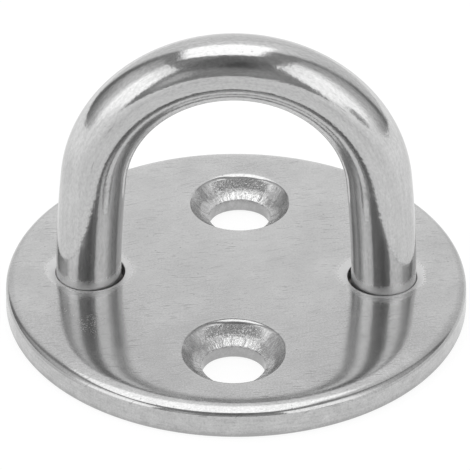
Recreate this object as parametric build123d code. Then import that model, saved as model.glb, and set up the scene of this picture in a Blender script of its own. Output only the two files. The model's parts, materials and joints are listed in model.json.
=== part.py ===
from build123d import *
import os
from math import asin, cos, degrees, radians, sin, tan

# Welded round pad eye: a bar bent into a bow, both legs passed through a round base
# plate and welded from beneath. Origin at the centre of the plate's underside, +Z up,
# the bow in the XZ plane, the two screw holes on the Y axis. Millimetres.

# Base plate
plate_diameter = 42.5
plate_thickness = 3.0
shoulder_width = 4.0       # radial width of the polished-down shoulder
shoulder_drop = 0.5        # how far the shoulder falls by the rim
arris_radius = 0.4         # between the shoulder and the rim wall
under_chamfer = 0.3        # rim edge beneath

# Countersunk screw holes
screw_spacing = 23.8
screw_hole_diameter = 5.9
countersink_diameter = 9.5
countersink_angle = 90.0
hole_break = 0.2           # broken edge of each screw hole beneath

# Bow
bar_diameter = 6.0
bow_centreline_height = 25.4
crown_radius = 13.0        # centreline radius of the crown
crown_half_angle = 84.0    # from the top of the bow down to where the legs begin
leg_radius = 125.0         # the legs are nearly straight: a very large arc
leg_end_height = 0.8       # the legs stop just short of the underside

# Leg holes and the weld beneath them
leg_hole_diameter = 6.6
weld_prep_diameter = 9.0
weld_prep_depth = 1.2
weld_top_height = 1.6

# Worked out from the above
plate_radius = plate_diameter / 2
countersink_slope = tan(radians(countersink_angle / 2))
countersink_depth = (countersink_diameter - screw_hole_diameter) / 2 / countersink_slope
crown_centre_z = bow_centreline_height - crown_radius
radius_step = leg_radius - crown_radius
leg_centre_x = -radius_step * sin(radians(crown_half_angle))
leg_centre_z = crown_centre_z - radius_step * cos(radians(crown_half_angle))


def leg_angle(height):
    """Angle above horizontal, about the leg arc's centre, of the leg at this height."""
    return asin((height - leg_centre_z) / leg_radius)


def leg_x(height):
    """Distance of the leg's centreline from the middle of the bow at this height."""
    return leg_centre_x + leg_radius * cos(leg_angle(height))


leg_hole_x = leg_x(plate_thickness)


def upright_cylinder(radius, x, y, low, high):
    return Pos(x, y, (low + high) / 2) * Cylinder(radius, high - low)


def upright_cone(low_radius, high_radius, x, y, low, high):
    return Pos(x, y, (low + high) / 2) * Cone(low_radius, high_radius, high - low)


def plate_blank():
    """Disc with a gently rounded shoulder, turned from its half section."""
    flat_radius = plate_radius - shoulder_width
    shoulder_radius = (shoulder_width**2 + shoulder_drop**2) / (2 * shoulder_drop)
    rim_angle = degrees(asin(1 - shoulder_drop / shoulder_radius))
    wall_top = plate_thickness - shoulder_drop
    with BuildPart() as blank:
        with BuildSketch(Plane.XZ) as section:
            with BuildLine():
                Polyline(
                    (flat_radius, plate_thickness),
                    (0, plate_thickness),
                    (0, 0),
                    (plate_radius - under_chamfer, 0),
                    (plate_radius, under_chamfer),
                    (plate_radius, wall_top),
                )
                CenterArc(
                    (flat_radius, plate_thickness - shoulder_radius),
                    shoulder_radius,
                    rim_angle,
                    90 - rim_angle,
                )
            make_face()
            arris = section.vertices().sort_by_distance((plate_radius, 0, wall_top))[0]
            fillet(arris, arris_radius)
        revolve(axis=Axis.Z)
    return blank.part


def base_plate():
    """Plate with two countersunk screw holes and two leg holes prepared for welding."""
    plate = plate_blank()
    top = plate_thickness
    clear = 1.0            # cutters stand this far out of the plate
    for side in (-1, 1):
        y = side * screw_spacing / 2
        hole_radius = screw_hole_diameter / 2
        cutter_radius = countersink_diameter / 2 + clear * countersink_slope
        plate -= upright_cylinder(hole_radius, 0, y, -clear, top + clear)
        plate -= upright_cone(hole_radius, cutter_radius, 0, y, top - countersink_depth, top + clear)
        plate -= upright_cone(hole_radius + hole_break, hole_radius, 0, y, 0, hole_break)
        x = side * leg_hole_x
        plate -= upright_cylinder(leg_hole_diameter / 2, x, 0, -clear, top + clear)
        plate -= upright_cone(weld_prep_diameter / 2, leg_hole_diameter / 2, x, 0, 0, weld_prep_depth)
    return plate


def eye_bow():
    """Round bar swept along a crown arc and two nearly straight legs."""
    joint_angle = 90 - crown_half_angle
    end_angle = degrees(leg_angle(leg_end_height))
    with BuildLine(Plane.XZ) as path:
        CenterArc((leg_centre_x, leg_centre_z), leg_radius, end_angle, joint_angle - end_angle)
        CenterArc((0, crown_centre_z), crown_radius, joint_angle, 2 * crown_half_angle)
        CenterArc((-leg_centre_x, leg_centre_z), leg_radius, 180 - joint_angle, joint_angle - end_angle)
    centreline = path.wire()
    section = Plane(origin=centreline @ 0, z_dir=centreline % 0) * Circle(bar_diameter / 2)
    return sweep(section, path=centreline)


def weld(side, bow):
    """Weld metal that closes the prepared hole beneath one leg and runs up round its end."""
    x = side * leg_hole_x
    metal = upright_cone(weld_prep_diameter / 2, leg_hole_diameter / 2, x, 0, 0, weld_prep_depth)
    metal += upright_cylinder(leg_hole_diameter / 2, x, 0, 0, weld_top_height)
    return metal - bow


bow = eye_bow()
nodes = {
    "base_plate": base_plate(),
    "eye_bow": bow,
    "weld_left": weld(-1, bow),
    "weld_right": weld(1, bow),
}

os.makedirs("parts", exist_ok=True)
for name, shape in nodes.items():
    export_step(shape, f"parts/{name}.step")
    print(name, round(shape.volume, 2), "mm3")
print("leg spacing at the plate's top face:", round(2 * leg_hole_x, 2), "mm")
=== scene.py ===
# %% [markdown]
# # A welded round pad eye
#
# A pad eye is a loop that a shackle, a hook or a line is fastened to. This one is a stainless bar
# bent into a bow. Its legs pass through a round plate and are welded from beneath, and two
# countersunk screws hold the plate to a deck. Everything here is polished steel, so almost all
# that the eye sees is reflection: the shapes have to be smooth and true, and the studio round
# the object matters as much as the object. The design is loaded first, as a fixed frame.

import json
import bmesh
import bpy
import numpy as np
from mathutils import Matrix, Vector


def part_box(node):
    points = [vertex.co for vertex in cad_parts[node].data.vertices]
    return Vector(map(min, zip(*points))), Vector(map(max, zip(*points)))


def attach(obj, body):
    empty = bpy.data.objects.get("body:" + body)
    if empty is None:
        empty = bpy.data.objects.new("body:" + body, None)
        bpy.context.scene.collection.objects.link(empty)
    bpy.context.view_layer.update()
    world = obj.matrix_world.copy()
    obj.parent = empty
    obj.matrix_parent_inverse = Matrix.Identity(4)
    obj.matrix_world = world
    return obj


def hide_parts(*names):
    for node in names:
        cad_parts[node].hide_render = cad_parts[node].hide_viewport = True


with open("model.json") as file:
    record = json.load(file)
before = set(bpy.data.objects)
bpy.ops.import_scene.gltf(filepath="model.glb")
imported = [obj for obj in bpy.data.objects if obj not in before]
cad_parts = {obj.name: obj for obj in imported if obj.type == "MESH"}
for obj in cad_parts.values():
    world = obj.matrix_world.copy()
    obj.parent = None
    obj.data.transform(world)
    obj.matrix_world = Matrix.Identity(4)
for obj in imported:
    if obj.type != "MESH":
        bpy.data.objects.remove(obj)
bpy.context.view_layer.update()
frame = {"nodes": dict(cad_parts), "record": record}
print("nodes:", sorted(frame["nodes"]))

# %% [markdown]
# ## Sizes
#
# The design's own boxes and mounts give the sizes, so the looks can't drift from it. All shapes
# are worked out in millimetres, because that is how a fitting is drawn, and turned into metres
# when a mesh is made. Only what the design leaves out, such as the size of a worn edge, is a new
# number here.

# %% Read the sizes from the frame
MM = 1000.0
plate_low, plate_high = (np.array(corner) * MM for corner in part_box("base_plate"))
bow_low, bow_high = (np.array(corner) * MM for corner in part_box("eye_bow"))
weld_low, weld_high = (np.array(corner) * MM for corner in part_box("weld_right"))
mounts = {mount["name"]: mount for mount in frame["record"]["mounts"]}

PLATE_RADIUS = plate_high[0]
PLATE_TOP = plate_high[2]
BAR_RADIUS = bow_high[1]
BOW_HEIGHT = bow_high[2] - BAR_RADIUS
LEG_END = bow_low[2]
SCREW_Y = mounts["screw_holes"]["dims"]["spacing_y_mm"] / 2
SCREW_RADIUS = mounts["screw_holes"]["dims"]["hole_r_mm"]
LEG_X = (weld_low[0] + weld_high[0]) / 2
WELD_RADIUS = (weld_high[0] - weld_low[0]) / 2
WELD_TOP = weld_high[2]
CROWN_RADIUS = 13.0
CROWN_ANGLE = np.radians(84.0)
LEG_HOLE_RADIUS = 3.2
HOLE_CENTRE = np.array([LEG_X - 0.14, 0.10])
SINK_RADIUS = 4.75
print("plate", 2 * PLATE_RADIUS, "bar", 2 * BAR_RADIUS, "bow", BOW_HEIGHT, "legs at", LEG_X)

# %% [markdown]
# ## Surfaces from arrays
#
# Each skin of a piece is a grid of points: a function of two parameters, worked out as whole
# arrays. A helper joins the grids of one piece into a mesh, welds the points that the grids
# share, and turns every face outwards. Grids are used, and not primitives with modifiers, because
# a mirror finish shows every uneven face, and a grid can be made as even as the finish needs.

# %% Build a mesh from grids
def grid_quads(rows, columns, start, wrap):
    """Corner numbers of the quads of a rows x columns grid, closed round its columns if wrap."""
    row = np.arange(rows - 1)[:, None]
    column = np.arange(columns if wrap else columns - 1)[None, :]
    following = (column + 1) % columns
    corners = (row * columns + column, row * columns + following,
               (row + 1) * columns + following, (row + 1) * columns + column)
    return start + np.stack(corners, axis=-1).reshape(-1, 4)


def build_piece(name, skins, sharp_degrees=40):
    """Mesh object from skins, each a tuple of a grid of points in mm, wrap and a finish number."""
    points, quads, finishes, start = [], [], [], 0
    for grid, wrap, finish in skins:
        rows, columns = grid.shape[:2]
        faces = grid_quads(rows, columns, start, wrap)
        points.append(grid.reshape(-1, 3))
        quads.append(faces)
        finishes.append(np.full(len(faces), finish))
        start += rows * columns
    mesh = bpy.data.meshes.new(name)
    mesh.from_pydata((np.concatenate(points) / MM).tolist(), [], np.concatenate(quads).tolist())
    mesh.polygons.foreach_set("material_index", np.concatenate(finishes).astype(np.int32))
    edit = bmesh.new()
    edit.from_mesh(mesh)
    bmesh.ops.remove_doubles(edit, verts=edit.verts, dist=2e-7)
    bmesh.ops.dissolve_degenerate(edit, edges=edit.edges, dist=1e-8)
    bmesh.ops.recalc_face_normals(edit, faces=edit.faces)
    edit.to_mesh(mesh)
    edit.free()
    mesh.shade_smooth()
    mesh.set_sharp_from_angle(angle=np.radians(sharp_degrees))
    piece = bpy.data.objects.new(name, mesh)
    bpy.context.collection.objects.link(piece)
    print(name, len(mesh.vertices), "points", len(mesh.polygons), "faces")
    return piece


print("quads of a 3 x 4 grid, open and closed round:",
      len(grid_quads(3, 4, 0, False)), len(grid_quads(3, 4, 0, True)))

# %% [markdown]
# ## The bow
#
# On the bench this is one length of round bar, bent cold round a former. The crown is an arc, and
# the legs are so nearly straight that each is an arc of a very large radius, tangent to the crown.
# A circle carried along that path makes the bar. Each point also keeps its place on the bar as if
# it were still straight, so that the polishing marks can follow the bend.

# %% The bow's path
LEG_RADIUS = 125.0
crown_z = BOW_HEIGHT - CROWN_RADIUS
leg_centre_x = -(LEG_RADIUS - CROWN_RADIUS) * np.sin(CROWN_ANGLE)
leg_centre_z = crown_z - (LEG_RADIUS - CROWN_RADIUS) * np.cos(CROWN_ANGLE)
end_angle = np.pi / 2 + np.arcsin((leg_centre_z - LEG_END) / LEG_RADIUS)
leg_turn = end_angle - CROWN_ANGLE
leg_length = LEG_RADIUS * leg_turn
crown_length = CROWN_RADIUS * CROWN_ANGLE
half_length = crown_length + leg_length


def bow_path(distance):
    """Point and direction on the bow's centreline, by distance from its top along the bar.

    Up to the crown's length the turn is distance / crown radius, about the crown's centre. Past
    it, the turn goes on at 1 / leg radius about the leg's centre. The left half mirrors the right.
    """
    side = np.sign(distance) + (distance == 0)
    along = np.abs(distance)
    in_crown = along <= crown_length
    turn = np.where(in_crown, along / CROWN_RADIUS, CROWN_ANGLE + (along - crown_length) / LEG_RADIUS)
    radius = np.where(in_crown, CROWN_RADIUS, LEG_RADIUS)
    x = np.where(in_crown, 0, leg_centre_x) + radius * np.sin(turn)
    z = np.where(in_crown, crown_z, leg_centre_z) + radius * np.cos(turn)
    point = np.stack([side * x, 0 * x, z], axis=-1)
    outward = np.stack([side * np.sin(turn), 0 * x, np.cos(turn)], axis=-1)
    return point, outward


print("bar length", round(2 * half_length, 2), "mm, leg end", bow_path(np.array([half_length]))[0])

# %% The bow's skin
def bow_skin(along_steps=480, round_steps=120):
    """Circle of the bar's radius about the path: point + r (cos a outward + sin a sideways)."""
    distance = np.linspace(-half_length, half_length, along_steps)
    angle = np.linspace(0, 2 * np.pi, round_steps, endpoint=False)
    point, outward = bow_path(distance)
    sideways = np.array([0.0, 1.0, 0.0])
    ring = np.cos(angle)[None, :, None] * outward[:, None, :]
    ring = ring + np.sin(angle)[None, :, None] * sideways
    skin = point[:, None, :] + BAR_RADIUS * ring
    first_cap = np.repeat(point[:1, None, :], round_steps, axis=1)
    last_cap = np.repeat(point[-1:, None, :], round_steps, axis=1)
    return np.concatenate([first_cap, skin, last_cap])


bow = build_piece("polished_bow", [(bow_skin(), True, 0)])

# %% Each point's place on the straight bar
def place_on_straight_bar(piece):
    """Stores each point's place on the unbent bar: across, across, along, in millimetres."""
    co = np.empty(len(piece.data.vertices) * 3)
    piece.data.vertices.foreach_get("co", co)
    co = co.reshape(-1, 3) * MM
    side = np.where(co[:, 0] < 0, -1.0, 1.0)
    x, y, z = np.abs(co[:, 0]), co[:, 1], co[:, 2]
    crown_turn = np.arctan2(x, z - crown_z)
    leg_turn_here = np.arctan2(x - leg_centre_x, z - leg_centre_z)
    in_crown = crown_turn <= CROWN_ANGLE
    along = np.where(in_crown, crown_turn * CROWN_RADIUS,
                     crown_length + (leg_turn_here - CROWN_ANGLE) * LEG_RADIUS)
    across = np.where(in_crown, np.hypot(x, z - crown_z) - CROWN_RADIUS,
                      np.hypot(x - leg_centre_x, z - leg_centre_z) - LEG_RADIUS)
    attribute = piece.data.attributes.new("on_bar", "FLOAT_VECTOR", "POINT")
    attribute.data.foreach_set("vector", np.stack([across, y, side * along], axis=-1).ravel())


place_on_straight_bar(bow)
print("places on the bar:", len(bow.data.attributes["on_bar"].data))
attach(bow, "root")
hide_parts("eye_bow")

# %% [markdown]
# ## The base plate
#
# The plate is blanked from sheet, drilled, countersunk, and then polished on a soft wheel. The
# wheel rounds it: the face falls away more and more steeply towards the rim, most of all at the
# front, and it sinks a little round each leg hole. So the top is one height for every x and y: the
# flat, less the fall to the rim, less a shallow dimple at each leg. Near the rim the fall is an
# exponential, because its steepness keeps doubling over the same short distance.

# %% The height of the plate's top
FRONT = -np.pi / 2
DIMPLE_DEPTH = 0.06
DIMPLE_WIDTH = 0.5


def rim_rounding(angle):
    """Slope at the arris, the width over which it fades, the arris's rounding and its radius.

    Slope and rounding are moved from their usual value to the front's by a power of the half
    angle's cosine. The width is the height lost at the arris / slope, so that the arris runs
    level. The wall leans in a little towards its top, by the inset, most of all at the front.
    """
    front = np.cos((angle - FRONT) / 2) ** 30
    slope = 0.46 + 0.14 * front
    width = (0.38 + 0.04 * front) / slope
    rounding = 0.66 - 0.12 * front
    inset = 0.04 + 0.10 * front
    arris = PLATE_RADIUS - inset - rounding * (1 - np.sin(np.arctan(slope)))
    return slope, width, rounding, arris


def top_height(x, y):
    """Flat top, less slope x width x exp((r - arris) / width), less exp dimples at the legs."""
    radius = np.hypot(x, y)
    slope, width, _, arris = rim_rounding(np.arctan2(y, x))
    fall = slope * width * np.exp((np.minimum(radius, arris) - arris) / width)
    from_leg = np.hypot(np.abs(x) - HOLE_CENTRE[0], y - HOLE_CENTRE[1]) - LEG_HOLE_RADIUS
    dimple = DIMPLE_DEPTH * np.exp(-np.maximum(from_leg, 0) / DIMPLE_WIDTH)
    return PLATE_TOP - fall - dimple


print("top at the middle", top_height(0.0, 0.0), "at the front arris", top_height(0.0, -21.0))

# %% [markdown]
# A face with four holes is not one grid. It is cut like a cake: a small disc in the middle, a rim
# ring outside, and four quarters between them with one hole each. In a quarter, straight rays
# run from the hole's edge to the quarter's border, and every border point is shared with the
# neighbour, so the grids weld into one even skin. The same plan serves the underside.

# %% The plan of the plate
QUARTER_STEPS = 96
SPOKE_STEPS = 40
INNER_RADIUS = 6.2
OUTER_RADIUS = 18.9


def polar(radius, angle):
    """Point at this radius and angle: radius (cos angle, sin angle)."""
    return np.stack([radius * np.cos(angle), radius * np.sin(angle)], axis=-1)


def quarter_border(middle_angle):
    """Closed border of the quarter about this angle: outer arc, spoke in, inner arc, spoke out."""
    arc = np.linspace(-np.pi / 4, np.pi / 4, QUARTER_STEPS + 1)
    spoke = np.linspace(OUTER_RADIUS, INNER_RADIUS, SPOKE_STEPS + 1)
    outer = polar(OUTER_RADIUS, middle_angle + arc)[:-1]
    inward = polar(spoke, middle_angle + np.pi / 4)[:-1]
    inner = polar(INNER_RADIUS, middle_angle - arc)[:-1]
    outward = polar(spoke[::-1], middle_angle - np.pi / 4)[:-1]
    return np.concatenate([outer, inward, inner, outward])


def hole_rays(middle_angle, centre):
    """Direction and length of the ray from the hole's centre to each border point."""
    offset = quarter_border(middle_angle) - centre
    length = np.hypot(offset[:, 0], offset[:, 1])
    return offset / length[:, None], length


def quarter_plan(middle_angle, centre, hole_radius, rings=28):
    """Grid from the hole's edge to the border: centre + ray (hole + (length - hole) s^2)."""
    ray, length = hole_rays(middle_angle, centre)
    s = np.linspace(0, 1, rings)[:, None] ** 2
    reach = hole_radius + (length - hole_radius) * s
    return centre + ray[None, :, :] * reach[:, :, None]


def disc_plan(rings=10):
    """Polar grid from the middle to the inner radius."""
    angle = np.pi / 4 + np.linspace(0, 2 * np.pi, 4 * QUARTER_STEPS, endpoint=False)
    radius = np.linspace(0, INNER_RADIUS, rings)
    return polar(radius[:, None], angle[None, :])


def lift(plan, height):
    """Adds a third coordinate to a plan: a number, or an array of heights."""
    return np.concatenate([plan, np.broadcast_to(height, plan.shape[:-1])[..., None]], axis=-1)


print("points round each hole:", len(quarter_border(0.0)))

# %% [markdown]
# Each screw hole is a bowl: steep at the top, where the cutter's flank ran, and flatter towards
# the bore, where its nose did. The polishing wheel came over the lip from the back and from the
# front, so the lip is rounder there than at the sides. The leg holes are plain, with a broken
# edge at the top and a wide chamfer beneath, which the weld fills.

# %% Hole profiles
TOP_FINISH, SINK_FINISH, WALL_FINISH, UNDER_FINISH = range(4)
STEEP, GENTLE = np.radians(50), np.radians(24)
BORE_RADIUS = SCREW_RADIUS - 0.04
NOSE_RADIUS = 3.95
BROKEN_EDGE = 0.2
CHAMFER_DEPTH = 1.2
LIP_STEPS = 12


def sink_profile(ray, front_lip):
    """Radius and depth down a screw hole, for every direction: lip, bowl, bore, broken edge.

    The lip is an arc of its own radius, from flat to the steep slope, tangent to the cone. In the
    bowl the slope goes from steep to gentle by a smooth step, and the depth is its running sum.
    """
    back, front = np.maximum(ray[:, 1], 0), np.maximum(-ray[:, 1], 0)
    lip = 0.30 + 0.60 * back ** 2 + front_lip * front ** 2
    cone_radius = SINK_RADIUS + 0.22 * front_lip * front ** 2
    turn = STEEP * np.linspace(0, 1, LIP_STEPS)[:, None]
    lip_radius = cone_radius + lip * (np.tan(STEEP / 2) - np.sin(turn))
    lip_depth = lip * (1 - np.cos(turn))
    s = np.linspace(0, 1, 30)[1:, None]
    bowl_radius = lip_radius[-1] + (BORE_RADIUS - lip_radius[-1]) * s
    past_nose = NOSE_RADIUS - bowl_radius
    near = np.clip(past_nose / 0.45, 0, 1)
    smooth = near * near * (3 - 2 * near)
    nose = smooth * 0.55 + 0.45 * np.clip(past_nose, 0, 1)
    slope = np.tan(STEEP + (GENTLE - STEEP) * nose)
    fall = -np.diff(np.concatenate([lip_radius[-1:], bowl_radius]), axis=0) * slope
    bowl_depth = lip_depth[-1] + np.cumsum(fall, axis=0)
    down_bore = np.array([[0.04], [0.5], [1.0]])
    bore_depth = bowl_depth[-1:] + (PLATE_TOP - BROKEN_EDGE - bowl_depth[-1:]) * down_bore
    bore_radius = np.full(bore_depth.shape, BORE_RADIUS - 0.02)
    foot = np.ones((1, len(ray)))
    radius = np.concatenate([lip_radius, bowl_radius, bore_radius, foot * (BORE_RADIUS + 0.18)])
    depth = np.concatenate([lip_depth, bowl_depth, bore_depth, foot * PLATE_TOP])
    return radius, depth


def leg_hole_profile(ray):
    """Radius and depth down a leg hole: small rounded edge, bore, chamfer out to the weld."""
    turn = np.linspace(0, np.pi / 2, LIP_STEPS)
    edge = 0.08
    bore = np.array([LEG_HOLE_RADIUS, LEG_HOLE_RADIUS, WELD_RADIUS])
    radius = np.concatenate([LEG_HOLE_RADIUS + edge * (1 - np.sin(turn)), bore])
    depth = np.concatenate([edge * (1 - np.cos(turn)), [0.9, PLATE_TOP - CHAMFER_DEPTH, PLATE_TOP]])
    return np.repeat(radius[:, None], len(ray), 1), np.repeat(depth[:, None], len(ray), 1)


def hole_skin(ray, centre, profile):
    """Profile turned about the hole, its top edge following the plate's uneven height."""
    radius, depth = profile
    plan = centre + ray[None, :, :] * radius[:, :, None]
    edge_height = top_height(plan[0, :, 0], plan[0, :, 1])
    fade = 1 - depth / PLATE_TOP
    height = PLATE_TOP - depth + (edge_height - PLATE_TOP)[None, :] * fade
    return lift(plan, height)


print("bore radius", BORE_RADIUS, "slopes", np.degrees([STEEP, GENTLE]).round(1), "degrees")

# %% [markdown]
# The rim is a profile turned about the middle of the plate. It is not the same all round, because
# the wheel rounded the front most, so every direction has its own arris and its own lean.

# %% The rim
FOOT = 0.42


def rim_skin():
    """Top from the outer radius to the arris, a rounded arris, the wall, and a rounded foot."""
    angle = np.pi / 4 + np.linspace(0, 2 * np.pi, 4 * QUARTER_STEPS, endpoint=False)
    slope, _, rounding, arris = rim_rounding(angle)
    shoulder = np.linspace(0, 1, 40)[:, None]
    shoulder_radius = OUTER_RADIUS + (arris[None, :] - OUTER_RADIUS) * shoulder
    shoulder_height = top_height(shoulder_radius * np.cos(angle), shoulder_radius * np.sin(angle))
    tilt = np.arctan(slope)
    turn = tilt + (np.pi / 2 - tilt) * np.linspace(0, 1, 14)[1:, None]
    arris_radius = arris + rounding * (np.sin(turn) - np.sin(tilt))
    arris_height = shoulder_height[-1] + rounding * (np.cos(turn) - np.cos(tilt))
    top_radius = np.concatenate([shoulder_radius, arris_radius])
    top = lift(polar(top_radius, angle[None, :]), np.concatenate([shoulder_height, arris_height]))
    down = np.linspace(0, 1, 10)[:, None]
    wall_height = arris_height[-1] + (FOOT - arris_height[-1]) * down
    foot_turn = np.linspace(0, np.pi / 2, 10)[1:, None]
    foot_height = FOOT - FOOT * np.sin(foot_turn) + 0 * angle
    foot_radius = PLATE_RADIUS - FOOT + FOOT * np.cos(foot_turn) + 0 * angle
    wall_radius = PLATE_RADIUS + (arris_radius[-1] - PLATE_RADIUS) * (1 - down) ** 2
    side_radius = np.concatenate([wall_radius, foot_radius])
    side = lift(polar(side_radius, angle[None, :]), np.concatenate([wall_height, foot_height]))
    under_radius = np.linspace(PLATE_RADIUS - FOOT, OUTER_RADIUS, 4)[:, None] + 0 * angle
    under = lift(polar(under_radius, angle[None, :]), 0.0)
    return top, side, under


print("rim grids:", [skin.shape[:2] for skin in rim_skin()])

# %% [markdown]
# All the grids of the plate are joined into one piece. Where two of them meet they share their
# points, so no seam shows, and the number that goes with each grid says which finish it gets.

# %% Put the plate together
FRONT_SCREW = np.array([0.10, -SCREW_Y - 0.10])
HOLES = [(0.0, HOLE_CENTRE, leg_hole_profile),
         (np.pi, HOLE_CENTRE * (-1, 1), leg_hole_profile),
         (np.pi / 2, np.array([0.0, SCREW_Y]), lambda ray: sink_profile(ray, 0.0)),
         (-np.pi / 2, FRONT_SCREW, lambda ray: sink_profile(ray, 0.7))]


def plate_skins():
    """Every skin of the plate, each with its finish."""
    rim_top, rim_side, rim_under = rim_skin()
    skins = [(rim_top, True, TOP_FINISH), (rim_side, True, WALL_FINISH)]
    skins.append((rim_under, True, UNDER_FINISH))
    disc = disc_plan()
    skins.append((lift(disc, top_height(disc[..., 0], disc[..., 1])), True, TOP_FINISH))
    skins.append((lift(disc_plan(rings=3), 0.0), True, UNDER_FINISH))
    for angle, centre, profile in HOLES:
        ray, _ = hole_rays(angle, centre)
        radius, depth = profile(ray)
        top = quarter_plan(angle, centre, radius[0])
        under = quarter_plan(angle, centre, radius[-1], rings=3)
        skins.append((lift(top, top_height(top[..., 0], top[..., 1])), True, TOP_FINISH))
        skin = hole_skin(ray, centre, (radius, depth))
        skins.append((skin[:LIP_STEPS], True, TOP_FINISH))
        skins.append((skin[LIP_STEPS - 1:], True, SINK_FINISH))
        skins.append((lift(under, 0.0), True, UNDER_FINISH))
    return skins


plate = build_piece("polished_plate", plate_skins(), sharp_degrees=28)
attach(plate, "root")
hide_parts("base_plate")

# %% [markdown]
# ## The welds
#
# Beneath, each leg's end is covered by weld metal that fills the chamfered hole flush with the
# plate, so that the fitting sits flat. The bead was laid in a circle and only skimmed flat
# afterwards, so a swirl of shallow ripples and a small hollow at its middle are left. Above the
# bead, inside the hole, the metal climbs a little way up the leg.

# %% Make the welds
RIPPLES = 14
RIPPLE_DEPTH = 0.02
HOLLOW_DEPTH = 0.06


def weld_skins(side):
    """Rippled face beneath, chamfer and bore sides, and the collar between bore and leg.

    The face is ripple depth x (1 + cos(ripples x (angle - s))) x sin^2(pi s), where s goes from 0
    in the middle to 1 at the edge, so the ripples lag behind as they run outwards. An exponential
    bell adds the hollow in the middle.
    """
    angle = np.linspace(0, 2 * np.pi, 144, endpoint=False)
    s = np.linspace(0, 1, 60)[:, None]
    radius = s * WELD_RADIUS
    phase = RIPPLES * angle[None, :] - RIPPLES * s
    ripple = RIPPLE_DEPTH * (1 + np.cos(phase)) * np.sin(np.pi * s) ** 2
    face_height = ripple + HOLLOW_DEPTH * np.exp(-(radius / 1.1) ** 2)
    face = lift(polar(radius, angle[None, :]), face_height)
    outside_radius = np.array([WELD_RADIUS, LEG_HOLE_RADIUS, LEG_HOLE_RADIUS])
    outside_height = np.array([0.0, CHAMFER_DEPTH, WELD_TOP])
    outside = lift(polar(outside_radius[:, None], angle[None, :]), outside_height[:, None])
    inside_radius = np.array([LEG_HOLE_RADIUS, BAR_RADIUS, BAR_RADIUS, 0.0])
    inside_height = np.array([WELD_TOP, WELD_TOP - 0.1, LEG_END, LEG_END])
    inside = lift(polar(inside_radius[:, None], angle[None, :]), inside_height[:, None])
    shift = np.array([side * HOLE_CENTRE[0], HOLE_CENTRE[1], 0.0])
    return [(face + shift, True, 0), (outside + shift, True, 0), (inside + shift, True, 0)]


welds = []
for name, node, side in (("bead_left", "weld_left", -1), ("bead_right", "weld_right", 1)):
    bead = build_piece(name, weld_skins(side))
    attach(bead, "root")
    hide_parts(node)
    welds.append(bead)

# %% [markdown]
# ## Shader maths as plain sums
#
# A finish is a formula: roughness is a base plus some cloudiness, darkened where there is a
# scratch. Nodes can say that, but a long chain of Math nodes is hard to read. So a small class
# wraps a socket and lends it the signs + - * /, and each sign adds its Math node. Everything that
# isn't arithmetic comes from one method, which sets a node's settings before its sockets.

# %% A socket that can be added and multiplied
class Value:
    """A number that varies over a surface: a socket with arithmetic signs."""

    def __init__(self, graph, socket):
        self.graph = graph
        self.socket = socket

    def maths(self, operation, *others):
        return self.graph.add("Math", {"operation": operation}, dict(enumerate((self, *others))))

    def __add__(self, other):
        return self.maths("ADD", other)

    def __radd__(self, other):
        return self.maths("ADD", other)

    def __sub__(self, other):
        return self.maths("SUBTRACT", other)

    def __rsub__(self, other):
        return self.graph.add("Math", {"operation": "SUBTRACT"}, {0: other, 1: self})

    def __mul__(self, other):
        return self.maths("MULTIPLY", other)

    def __rmul__(self, other):
        return self.maths("MULTIPLY", other)

    def __truediv__(self, other):
        return self.maths("DIVIDE", other)

    def __rtruediv__(self, other):
        return self.graph.add("Math", {"operation": "DIVIDE"}, {0: other, 1: self})

    def __pow__(self, other):
        return self.maths("POWER", other)

    def __neg__(self):
        return self.maths("MULTIPLY", -1.0)

    def __abs__(self):
        return self.maths("ABSOLUTE")

    def root(self):
        return self.maths("SQRT")

    def least(self, other):
        return self.maths("MINIMUM", other)

    def most(self, other):
        return self.maths("MAXIMUM", other)

    def fade(self, start, end):
        """0 at start and 1 at end, or the other way round if start is larger, smoothly between."""
        flip = start > end
        low, high = min(start, end), max(start, end)
        shape = {"interpolation_type": "SMOOTHSTEP"}
        levels = {"Value": self, "From Min": low, "From Max": high,
                  "To Min": float(flip), "To Max": float(not flip)}
        return self.graph.add("MapRange", shape, levels)


print("reflected signs:", sorted(sign for sign in vars(Value) if sign.startswith("__r")))

# %% A graph that nodes are added to
class Graph:
    """The nodes of one material or of the world."""

    def __init__(self, tree):
        self.tree = tree
        tree.nodes.clear()

    def add(self, kind, settings=None, inputs=None, output=0):
        """Adds a node, sets its settings and then its sockets, and returns one output."""
        node = self.tree.nodes.new("ShaderNode" + kind)
        for setting, value in (settings or {}).items():
            setattr(node, setting, value)
        for key, value in (inputs or {}).items():
            if isinstance(value, Value):
                self.tree.links.new(value.socket, node.inputs[key])
            else:
                node.inputs[key].default_value = value
        return Value(self, node.outputs[output]) if node.outputs else None

    def vector(self, operation, *inputs, output=0):
        return self.add("VectorMath", {"operation": operation}, dict(enumerate(inputs)), output)

    def scaled(self, vector, factor):
        return self.add("VectorMath", {"operation": "SCALE"}, {0: vector, "Scale": factor})

    def parts(self, vector):
        """The three numbers of a vector."""
        split = self.add("SeparateXYZ", {}, {0: vector})
        node = split.socket.node
        return tuple(Value(self, node.outputs[axis]) for axis in "XYZ")

    def join(self, x, y, z):
        return self.add("CombineXYZ", {}, {0: x, 1: y, 2: z})

    def noise(self, vector, scale, detail=2.0, roughness=0.5, distortion=0.0):
        """Cloudy noise about 0.5, scale in clouds per millimetre."""
        settings = {"Vector": vector, "Scale": scale, "Detail": detail,
                    "Roughness": roughness, "Distortion": distortion}
        return self.add("TexNoise", {"noise_dimensions": "3D"}, settings)

    def blend(self, factor, first, second):
        """Colour between two, by a factor."""
        return self.add("Mix", {"data_type": "RGBA"}, {0: factor, 6: first, 7: second}, output=2)


print("a graph can:", sorted(verb for verb in vars(Graph) if not verb.startswith("_")))

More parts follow.
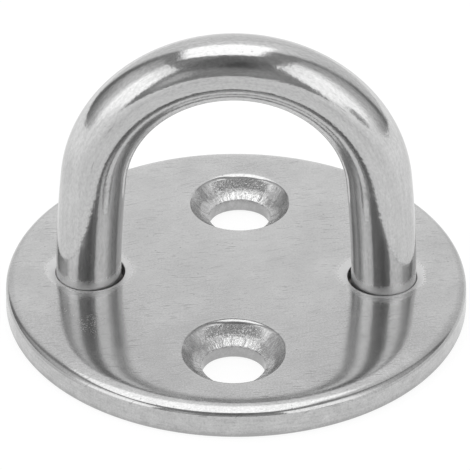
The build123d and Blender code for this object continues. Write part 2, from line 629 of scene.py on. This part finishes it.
# %% [markdown]
# ## Steel
#
# Polished stainless has almost no colour of its own. It is a mid grey mirror, and what makes it
# look real is what the buffing wheel left: fine lines that run one way, faint clouds where it
# dwelt, a few pits and stray scratches. All four are kept at true size, in millimetres, and each
# is a small change of roughness or a few thousandths of a millimetre of height.

# %% Marks left on steel
DARK_STEEL = (0.403, 0.403, 0.403, 1.0)
BRIGHT_STEEL = (0.683, 0.683, 0.683, 1.0)


def steel_graph(name):
    """A new material, with an empty graph to fill."""
    material = bpy.data.materials.new(name)
    material.use_nodes = True
    return material, Graph(material.node_tree)


def millimetres(graph):
    """Object coordinates in millimetres."""
    return graph.scaled(graph.add("TexCoord", {}, {}, output=3), MM)


def lines(graph, place, turn, length, width, amount):
    """Thin scratches: noise stretched to length x width millimetres, cut off near its peak.

    turn is the direction in degrees about the z axis, and amount from 0 to 1 how many there are.
    """
    settings = {"vector_type": "TEXTURE"}
    inputs = {"Vector": place, "Rotation": (0.0, 0.0, np.radians(turn)),
              "Scale": (length, width, length)}
    stretched = graph.add("Mapping", settings, inputs)
    peak = graph.noise(stretched, 1.0, detail=1.0)
    return peak.fade(0.74 - 0.2 * amount, 0.80 - 0.2 * amount)


def pits(graph, place, scale, size):
    """Round specks: within size of a scattered point, 1 at its middle."""
    inputs = {"Vector": place, "Scale": scale, "Randomness": 1.0}
    distance = graph.add("TexVoronoi", {"feature": "F1"}, inputs)
    return distance.fade(size * scale, size * scale * 0.4)


def steel(graph, material, colour, roughness, height, bump_distance, metallic=1.0):
    """The shader: colour and roughness as given, and height in units of the bump's distance."""
    bump = graph.add("Bump", {}, {"Height": height, "Distance": bump_distance, "Strength": 1.0})
    shader = graph.add("BsdfPrincipled", {}, {"Base Color": colour, "Roughness": roughness,
                                             "Metallic": metallic, "Normal": bump})
    graph.add("OutputMaterial", {}, {"Surface": shader})
    print(material.name, "has", len(material.node_tree.nodes), "nodes")
    return material


print("steel, dark to bright:", DARK_STEEL[0], BRIGHT_STEEL[0])

# %% [markdown]
# The plate's top was buffed from side to side. Round each leg the wheel couldn't reach, so a
# narrow ring stays dull and rougher. Its colour is painted lighter, most at its sides and back,
# as a painted highlight for the pale halo it catches. The top's colour is also painted lighter
# towards the back and darker towards the front, and darker along the arris away from the front:
# painted shade and reflection.

# %% The polished top
def polished_top():
    material, graph = steel_graph("polished plate steel")
    place = millimetres(graph)
    x, y, _ = graph.parts(place)
    clouds = graph.noise(place, 0.22, detail=3.0, roughness=0.6) - 0.5
    fine = graph.noise(place, 6.0, detail=2.0, roughness=0.6) - 0.5
    grain = graph.noise(graph.join(x * 0.9, y * 6.5, 0.0), 1.0, detail=3.0) - 0.5
    gate = graph.noise(place, 0.42, detail=2.0).fade(0.47, 0.62)
    short_lines = lines(graph, place, 3.0, 1.3, 0.10, 0.58) * gate
    stray_lines = lines(graph, place, 24.0, 3.0, 0.09, 0.5) * (1.0 - gate)
    sprinkled = graph.noise(place, 1.3, detail=1.0).fade(0.52, 0.60)
    specks = pits(graph, place, 1.1, 0.11) * sprinkled
    bright_specks = pits(graph, graph.scaled(place, 1.1), 0.8, 0.08) * (1.0 - sprinkled)
    marks = (short_lines + stray_lines * 0.6 + specks).least(1.0)
    leg_x = abs(x) - HOLE_CENTRE[0]
    from_leg = (leg_x * leg_x + (y - HOLE_CENTRE[1]) ** 2.0).root() - LEG_HOLE_RADIUS
    outside = (leg_x + 3.0 * graph.noise(place, 0.6) - 1.5).fade(-1.0, 1.0)
    aside = abs(y + 1.8).fade(4.5, 1.0) * outside
    reach = 0.35 + 0.5 * y.fade(-3.2, -0.5) + clouds * 1.5 + fine * 0.8
    dull_ring_and_painted_highlight = (from_leg / reach).fade(1.3, 0.4)
    buffed_edge_and_painted_shade = (x * x + y * y).root().fade(20.3, 20.8)
    roughness = 0.125 + 0.08 * clouds + 0.08 * marks - 0.04 * buffed_edge_and_painted_shade
    roughness = roughness + dull_ring_and_painted_highlight * (0.25 + 0.18 * aside)
    shade = 0.5 + clouds * 0.75 + fine * 0.95 + grain * 0.3 - marks * 0.8 + bright_specks * 0.4
    # Painted shade: lighter towards the back, darker towards the front, and darker along the arris
    # away from the front, deepening the dark line it reflects.
    shade = shade + 0.18 * y.fade(-11.0, 3.0) - 0.08 - 0.3 * buffed_edge_and_painted_shade * y.fade(-19.0, -15.0)
    # Painted highlight: the dull ring round each leg is lightened in colour, most at its sides and
    # back.
    shade = shade + dull_ring_and_painted_highlight * (0.35 + 1.0 * aside)
    colour = graph.blend(shade, DARK_STEEL, BRIGHT_STEEL)
    height = grain * 0.6 + clouds * 0.8 + fine * 0.5 - marks * 0.5
    return steel(graph, material, colour, roughness, height, 3.0e-6, metallic=0.86)


top_steel = polished_top()

# %% [markdown]
# In the screw holes the cutter chattered, which left streaks that run down the cone. They follow
# the direction from the hole's middle, and not the depth, so the noise is read on a unit circle.
# The bore below the cone is painted darker, as painted shade in the hole. At the back of each hole
# the lower cone is painted lighter, a painted highlight, and the upper cone darker, painted shade
# over real torn, speckled metal.

# %% The cut surfaces of the holes
def cut_steel():
    material, graph = steel_graph("cut countersink steel")
    place = millimetres(graph)
    x, y, z = graph.parts(place)
    across = abs(y) - SCREW_Y
    reach = (x * x + across * across).root() + 0.001
    spin = graph.join(x / reach, across / reach, z * 0.12)
    streaks = graph.noise(spin, 8.0, detail=3.0, roughness=0.6) - 0.5
    patches = graph.noise(place, 0.7, detail=3.0, roughness=0.6) - 0.5
    grit = graph.noise(place, 4.5, detail=3.0, roughness=0.7) - 0.5
    behind = across * y.fade(-1.0, 1.0) - across * y.fade(1.0, -1.0)
    chatter = behind.fade(1.5, 3.0) * (1.0 - abs(x).fade(1.8, 3.0))
    cut = z.fade(1.28, 1.36)
    streaks = streaks * cut * (0.45 + 0.55 * chatter)
    scores = graph.noise(spin, 13.0, detail=1.0).fade(0.60, 0.70) * chatter * cut
    roughness = 0.18 + 0.2 * patches + 0.15 * grit
    # Painted shade: the bore below the cone, where cut is 0, is darker in colour.
    shade = 0.05 + 0.57 * cut + streaks * 1.6 + patches * 1.3 + scores * 0.6
    shade = shade + grit * (0.6 + cut * (0.8 + 2.6 * chatter))
    # Painted highlight on the lower back cone near the bore; painted shade on the upper back cone,
    # over real torn speckle.
    painted_highlight_near_bore = z.fade(2.1, 1.85) * chatter * cut
    torn_and_painted_shade = z.fade(1.85, 2.1) * chatter
    chips = graph.noise(place, 7.0, detail=2.0, roughness=0.6).fade(0.42, 0.58) - 0.5
    shade = shade + 0.9 * painted_highlight_near_bore + (chips * 1.6 - 0.75) * torn_and_painted_shade
    roughness = roughness - 0.07 * painted_highlight_near_bore - 0.05 * torn_and_painted_shade
    colour = graph.blend(shade, DARK_STEEL, BRIGHT_STEEL)
    height = streaks * 2.8 + patches * 1.8 * cut + scores * 0.4
    height = height + grit * (0.2 + 0.3 * cut + 0.4 * chatter + 0.6 * torn_and_painted_shade) + chips * 0.9 * torn_and_painted_shade
    return steel(graph, material, colour, roughness, height, 5.0e-5, metallic=0.86)


sink_steel = cut_steel()

# %% [markdown]
# The rim was turned and only lightly buffed, so its lines run round it. Its wall is painted darker
# towards the foot, as painted shade where it reflects the floor by the contact. The underside was
# ground flat after welding: parallel lines, duller, with rings of straw and blue where the heat
# spread.

# %% The finish of the rim
def turned_rim():
    material, graph = steel_graph("turned rim steel")
    place = millimetres(graph)
    x, y, z = graph.parts(place)
    round_rim = graph.join(x * 0.5, y * 0.5, z * 5.0)
    turned = graph.noise(round_rim, 1.0, detail=3.0, roughness=0.6) - 0.5
    patches = graph.noise(place, 0.9, detail=3.0, roughness=0.6) - 0.5
    fine = graph.noise(place, 6.0, detail=2.0) - 0.5
    dents = pits(graph, place, 0.8, 0.14)
    roughness = 0.19 + 0.10 * patches + 0.05 * turned
    shade = 0.38 + patches * 0.8 + turned * 0.7 + fine * 0.8 - dents * 0.2
    # Painted shade: the wall darkens towards its foot, where it reflects the floor by the contact.
    shade = shade - 0.5 * z.fade(0.95, 0.1)
    colour = graph.blend(shade, DARK_STEEL, BRIGHT_STEEL)
    height = turned * 0.5 + patches * 2.0 - dents * 0.5
    return steel(graph, material, colour, roughness, height, 2.0e-5)


rim_steel = turned_rim()

# %% The finish of the underside
def heat_tint(graph, x, y, outside):
    """Colour of the oxide left by the weld: steel, then straw, then brown and blue at the bead."""
    leg_x = abs(x) - LEG_X
    from_leg = (leg_x * leg_x + y * y).root()
    wobble = graph.noise(graph.join(x, y, 0.0), 0.5, detail=2.0)
    heat = (from_leg + wobble * 1.6 - 0.8).fade(outside, WELD_RADIUS * 0.55)
    straw = graph.blend(heat.fade(0.05, 0.75), (0.52, 0.518, 0.512, 1.0), (0.49, 0.445, 0.37, 1.0))
    return graph.blend(heat.fade(0.55, 1.0), straw, (0.33, 0.325, 0.34, 1.0))


def ground_underside():
    material, graph = steel_graph("ground underside steel")
    place = millimetres(graph)
    x, y, _ = graph.parts(place)
    ground = graph.noise(graph.join(x * 9.0, y * 0.35, 0.0), 1.0, detail=4.0, roughness=0.7)
    patches = graph.noise(place, 0.25, detail=3.0)
    scratches = lines(graph, place, 96.0, 7.0, 0.12, 0.6)
    roughness = 0.34 + 0.14 * ground + 0.10 * patches
    worn = (scratches * 0.6 + (ground - 0.3) * 0.7).most(0.0)
    colour = graph.blend(worn, heat_tint(graph, x, y, 7.4), DARK_STEEL)
    return steel(graph, material, colour, roughness, ground - scratches * 0.5, 3.0e-5)


under_steel = ground_underside()

# %% The plate's finishes, in the order of their numbers
for finish in (top_steel, sink_steel, rim_steel, under_steel):
    plate.data.materials.append(finish)
print([finish.name for finish in plate.data.materials])

# %% [markdown]
# The bow's lines run along the bar, so they are read in the bar's own places, as if it were still
# straight. The noise is long along the bar and fine round it. Near each leg's foot the wheel
# couldn't reach either: a dull, rougher ring, whose colour is painted lighter as a painted highlight.

# %% The polished bar
def polished_bar():
    material, graph = steel_graph("polished bar steel")
    place = graph.add("Attribute", {"attribute_name": "on_bar"}, {}, output=1)
    across, sideways, along = graph.parts(place)
    drawn = graph.noise(graph.join(across * 3.2, sideways * 3.2, along * 0.22), 1.0,
                        detail=4.0, roughness=0.65) - 0.5
    peel = graph.noise(place, 1.6, detail=2.0) - 0.5
    fine = graph.noise(graph.join(across * 6.0, sideways * 6.0, along * 3.0), 1.0, detail=2.0) - 0.5
    clouds = graph.noise(place, 0.3, detail=2.0) - 0.5
    gate = graph.noise(place, 0.35, detail=1.0).fade(0.48, 0.6)
    scratches = graph.noise(graph.join(across * 5.0, sideways * 5.0, along * 0.6), 1.0, detail=1.0)
    scratches = scratches.fade(0.68, 0.75) * gate
    specks = pits(graph, place, 1.2, 0.09) * gate
    z = graph.parts(millimetres(graph))[2]
    dull_ring_and_painted_highlight = (z + fine * 0.8 + peel * 0.6).fade(PLATE_TOP + 1.25, PLATE_TOP + 0.5)
    roughness = 0.125 + 0.10 * drawn + 0.08 * scratches + 0.08 * specks
    roughness = roughness + 0.06 * clouds + 0.30 * dull_ring_and_painted_highlight
    shade = 0.5 + drawn * 0.7 + fine * 0.8 + clouds * 0.3 - (scratches + specks) * 0.35
    # Painted highlight: the dull ring at each leg's foot is lightened in colour as well as made
    # rougher.
    colour = graph.blend(shade + dull_ring_and_painted_highlight * 0.7, DARK_STEEL, BRIGHT_STEEL)
    height = drawn * 0.9 + peel * 2.2 + fine * 0.5 - scratches * 0.3 - specks * 0.4
    return steel(graph, material, colour, roughness, height, 4.8e-6, metallic=0.97)


bow.data.materials.append(polished_bar())

# %% [markdown]
# A weld bead is duller and bluer than the steel about it, with darker soot in the valleys between
# its ripples.

# %% The weld metal
def weld_metal():
    material, graph = steel_graph("weld bead metal")
    place = millimetres(graph)
    x, y, z = graph.parts(place)
    patches = graph.noise(place, 0.9, detail=4.0, roughness=0.6)
    grains = graph.noise(place, 6.0, detail=3.0, roughness=0.7)
    valleys = z.fade(0.0, 0.05)
    roughness = 0.34 + 0.18 * patches + 0.08 * grains
    colour = graph.blend(valleys * 0.45, heat_tint(graph, x, y, 6.4), (0.16, 0.15, 0.15, 1.0))
    return steel(graph, material, colour, roughness, patches + grains * 0.4, 2.5e-5)


bead_metal = weld_metal()
for bead in welds:
    bead.data.materials.append(bead_metal)

# %% [markdown]
# ## The studio
#
# Small bright metal is shown inside a ring of soft boxes, with dark gaps left between them.
# The boxes give the long pale bands and the gaps the dark ones, and without the gaps steel looks
# like chalk. The boxes are worked out in the world's shader: a direction from the object is cast
# on to a flat box, and it is bright where it lands inside the edges. That keeps the light free of
# noise, and it has no cards to hide from the camera.

# %% Soft boxes in the world
def flat_spot(graph, direction, azimuth):
    """Where a direction lands on an upright wall one unit away: along the wall, and up it.

    The wall faces the object from this azimuth, 0 at the front and 90 at the right, and the
    distance along it is positive towards the front.
    """
    turn = np.radians(azimuth)
    towards = (np.sin(turn), -np.cos(turn), 0.0)
    sense = -np.sign(azimuth)
    frontwards = (sense * np.cos(turn), sense * np.sin(turn), 0.0)
    ahead = graph.vector("DOT_PRODUCT", direction, towards, output=1)
    along = graph.vector("DOT_PRODUCT", direction, frontwards, output=1)
    up = graph.parts(direction)[2]
    depth = ahead.most(0.001)
    return along / depth, up / depth, ahead.fade(0.0, 0.02)


def inside(value, low, high, edge):
    """1 between low and high, falling to 0 over the width of the edge."""
    return value.fade(low - edge, low + edge) * value.fade(high + edge, high - edge)


def patch(azimuth, elevation, at, size):
    """1 at a place in the studio, given as azimuth and elevation, fading to 0 over its size."""
    across, up = azimuth - at[0], elevation - at[1]
    return ((across / size[0]) ** 2 + (up / size[1]) ** 2).fade(1.0, 0.0)


world = bpy.data.worlds.new("soft studio")
world.use_nodes = True
bpy.context.scene.world = world
graph = Graph(world.node_tree)
direction = graph.vector("NORMALIZE", graph.add("TexCoord", {}, {}, output=0))
x, y, z = graph.parts(direction)
azimuth = graph.add("Math", {"operation": "ARCTAN2"}, {0: x, 1: -y}) * (180 / np.pi)
elevation = graph.add("Math", {"operation": "ARCSINE"}, {0: z}) * (180 / np.pi)
print("world:", world.name, "with", len(world.node_tree.nodes), "nodes so far")

# %% [markdown]
# Between the boxes the studio is a dim grey room with a pale wall behind. It is not even: an
# object this bright shows each darker corner, so a few soft patches are taken away or added.

# %% The room between the boxes
def room_light():
    """Grey surround, less or plus soft patches, with a pale wall behind."""
    light = 0.31 - 0.14 * patch(azimuth, elevation, (-5.0, 50.0), (42.0, 28.0))
    light = light - 0.10 * patch(azimuth, elevation, (1.0, 35.0), (12.0, 20.0))
    light = light - 0.13 * patch(azimuth, elevation, (-127.0, 12.0), (16.0, 34.0))
    light = light - 0.10 * patch(azimuth, elevation, (113.0, 10.0), (14.0, 30.0))
    light = light + 0.30 * patch(azimuth, elevation, (-23.0, 17.0), (9.0, 16.0))
    light = light + 0.06 * patch(azimuth, elevation, (8.0, 12.0), (9.0, 16.0))
    back_wall = azimuth.fade(112.0, 124.0) + azimuth.fade(-131.0, -143.0)
    wall_light = 0.92 - 0.12 * azimuth.fade(170.0, 118.0) * azimuth.fade(100.0, 118.0)
    wall_light = wall_light + 0.14 * elevation.fade(38.0, 60.0)
    return light + back_wall * (wall_light - light)


light = room_light()
print("the room uses", len(world.node_tree.nodes), "nodes")

# %% [markdown]
# Two tall boxes stand left and right and light the bow's flanks. Each is brightest towards the
# front, and fades towards its top and its foot, as cloth in front of a lamp does.

# %% The boxes at the sides
def left_box():
    """Where the left box is, and how bright it is there."""
    along, up, ahead = flat_spot(graph, direction, -85.0)
    left = inside(along, -0.72, 1.15, 0.05) * up.fade(1.34, 1.20) * ahead
    low_rear = 1.0 - 0.5 * along.fade(0.0, -0.35) * up.fade(0.75, 0.1)
    left_light = (0.86 + 0.84 * along.fade(0.0, 0.32) - 0.25 * along.fade(-0.2, -0.7)) * low_rear
    left_light = left_light * (1.0 - 0.26 * up.fade(0.55, 1.2)) * (1.0 - 0.30 * up.fade(0.30, 0.0))
    return left, left_light


def right_box():
    """Where the right box is, and how bright it is there."""
    along, up, ahead = flat_spot(graph, direction, 80.0)
    right = inside(along, -0.48, 1.48, 0.06) * up.fade(1.80, 1.62) * ahead
    right_light = 0.66 + 0.92 * along.fade(-0.12, 0.48) - 0.20 * along.fade(-0.1, -0.5)
    right_light = right_light * (1.0 - 0.20 * up.fade(0.9, 1.7)) * (1.0 - 0.28 * up.fade(0.25, 0.0))
    right_light = right_light - 0.9 * patch(azimuth, elevation, (45.0, 3.5), (10.0, 8.0))
    return right, right_light


for box in (left_box, right_box):
    where, brightness = box()
    light = light + where * (brightness - light)
print("with the side boxes,", len(world.node_tree.nodes), "nodes")

# %% [markdown]
# The box overhead lights the plate and the crown. The camera sees none of this: behind the object
# it finds plain white, and only the steel and the floor are lit by the room and the boxes.

# %% The box overhead, and the world's output
def overhead_box():
    """Where the box overhead is, on a ceiling one unit up."""
    height = z.most(0.001)
    over_x, over_y = x / height, y / height
    overhead = over_x.fade(-0.60, -0.50) * (over_x - 0.2 * over_y).fade(0.29, 0.21)
    sag = 0.4 * over_x * over_x
    return overhead * inside(over_y - sag, -0.30, 0.46, 0.04) * z.fade(0.3, 0.4)


OVERHEAD_LIGHT = 1.87
light = light + overhead_box() * (OVERHEAD_LIGHT - light)
seen = graph.add("LightPath", {}, {}, output=0)
strength = seen + (1.0 - seen) * light
background = graph.add("Background", {}, {"Color": (1.0, 1.0, 1.0, 1.0), "Strength": strength})
graph.add("OutputWorld", {}, {"Surface": background})
print("the whole studio has", len(world.node_tree.nodes), "nodes")

# %% [markdown]
# The floor is a wide white sheet. A real one is lit until it burns out to white, and shows hardly
# any shadow, so it glows by itself and only its remainder is lit by the studio. It is clear from
# beneath, so that it hides nothing when the fitting is looked at from below.

# %% The floor
def make_floor(radius=3.0, steps=96, drop=0.02):
    """Flat disc of rings, radius x s^3 all round, a little below the fitting."""
    angle = np.linspace(0, 2 * np.pi, steps, endpoint=False)
    s = np.linspace(0, 1, 8)[:, None] ** 3
    rings = lift(polar(s * radius * MM, angle[None, :]), -drop)
    floor = build_piece("floor", [(rings, True, 0)])
    if floor.data.polygons[0].normal.z < 0:
        floor.data.flip_normals()
    material, graph = steel_graph("white floor sheet")
    seen = graph.add("LightPath", {}, {}, output=0)
    x, y, _ = graph.parts(millimetres(graph))
    glow = 0.83 + 0.18 * abs(x).fade(30.0, 110.0) - 0.09 * y.fade(-10.0, -60.0)
    sheet = graph.add("BsdfPrincipled", {}, {"Base Color": (0.15, 0.15, 0.15, 1.0), "Roughness": 0.9,
                                            "Specular IOR Level": 0.1,
                                            "Emission Color": glow + seen * (0.89 - glow),
                                            "Emission Strength": 1.0})
    from_beneath = graph.add("NewGeometry", {}, {}, output=6)
    clear = graph.add("BsdfTransparent", {}, {})
    shader = graph.add("MixShader", {}, {0: from_beneath, 1: sheet, 2: clear})
    graph.add("OutputMaterial", {}, {"Surface": shader})
    floor.data.materials.append(material)


make_floor()

# %% [markdown]
# ## The camera
#
# A fitting this small is shot from near with a long lens, looking down at about a third of a right
# angle, so that the plate shows its face and its edge. The camera stands almost straight in front.

# %% Place the camera
AZIMUTH, ELEVATION, ROLL = np.radians([1.504, 34.184, 0.103])
TARGET = np.array([-0.111, 0.0, 7.301]) / MM
DISTANCE = 0.3699
LENS = 309.5
SENSOR_WIDTH = 36.0

camera_data = bpy.data.cameras.new("camera")
camera_data.lens = LENS
camera_data.sensor_width = SENSOR_WIDTH
camera = bpy.data.objects.new("camera", camera_data)
bpy.context.collection.objects.link(camera)
level = np.array([np.sin(AZIMUTH), -np.cos(AZIMUTH), 0.0])
backwards = level * np.cos(ELEVATION) + np.array([0.0, 0.0, np.sin(ELEVATION)])
rightwards = np.cross(-backwards, (0.0, 0.0, 1.0))
rightwards = rightwards / np.linalg.norm(rightwards)
upwards = np.cross(backwards, rightwards)
rolled_right = rightwards * np.cos(ROLL) + upwards * np.sin(ROLL)
rolled_up = upwards * np.cos(ROLL) - rightwards * np.sin(ROLL)
pose = np.eye(4)
pose[:3, 0] = rolled_right
pose[:3, 1] = rolled_up
pose[:3, 2] = backwards
pose[:3, 3] = TARGET + backwards * DISTANCE
camera.matrix_world = Matrix(pose.tolist())
bpy.context.scene.camera = camera
bpy.context.scene.view_settings.view_transform = "Standard"
print("camera at", pose[:3, 3])
